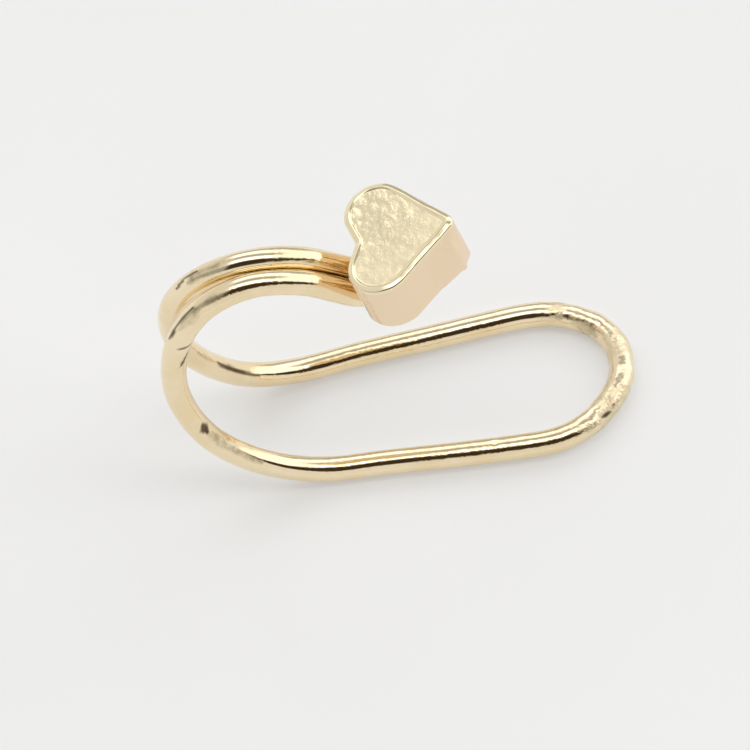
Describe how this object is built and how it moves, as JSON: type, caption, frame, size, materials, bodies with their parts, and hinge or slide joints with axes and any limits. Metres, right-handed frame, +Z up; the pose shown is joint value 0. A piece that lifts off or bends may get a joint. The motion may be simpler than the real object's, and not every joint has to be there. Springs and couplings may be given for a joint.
{
  "type": "clip-on earring",
  "caption": "Sprung wire loop that clips an unpierced ear lobe, with a thick cast heart facing forward.",
  "frame": {"origin": "middle of the underside of the earring as it lies on its loop, on the surface it rests on", "axes": "+X from the heel along the loop to its round end, +Y across to the far strand, +Z up towards the heart"},
  "size_m": [0.023, 0.0082, 0.0167],
  "materials": {
    "wire_gold": "bright polished gold plating, scuffed at the round end",
    "heart_gold": "gold plating, satin and slightly pitted in the sunken front, bright on the rim and sides"
  },
  "bodies": {
    "root": {"ear_wire": "wire_gold", "heart": "heart_gold"}
  },
  "joints": []
}
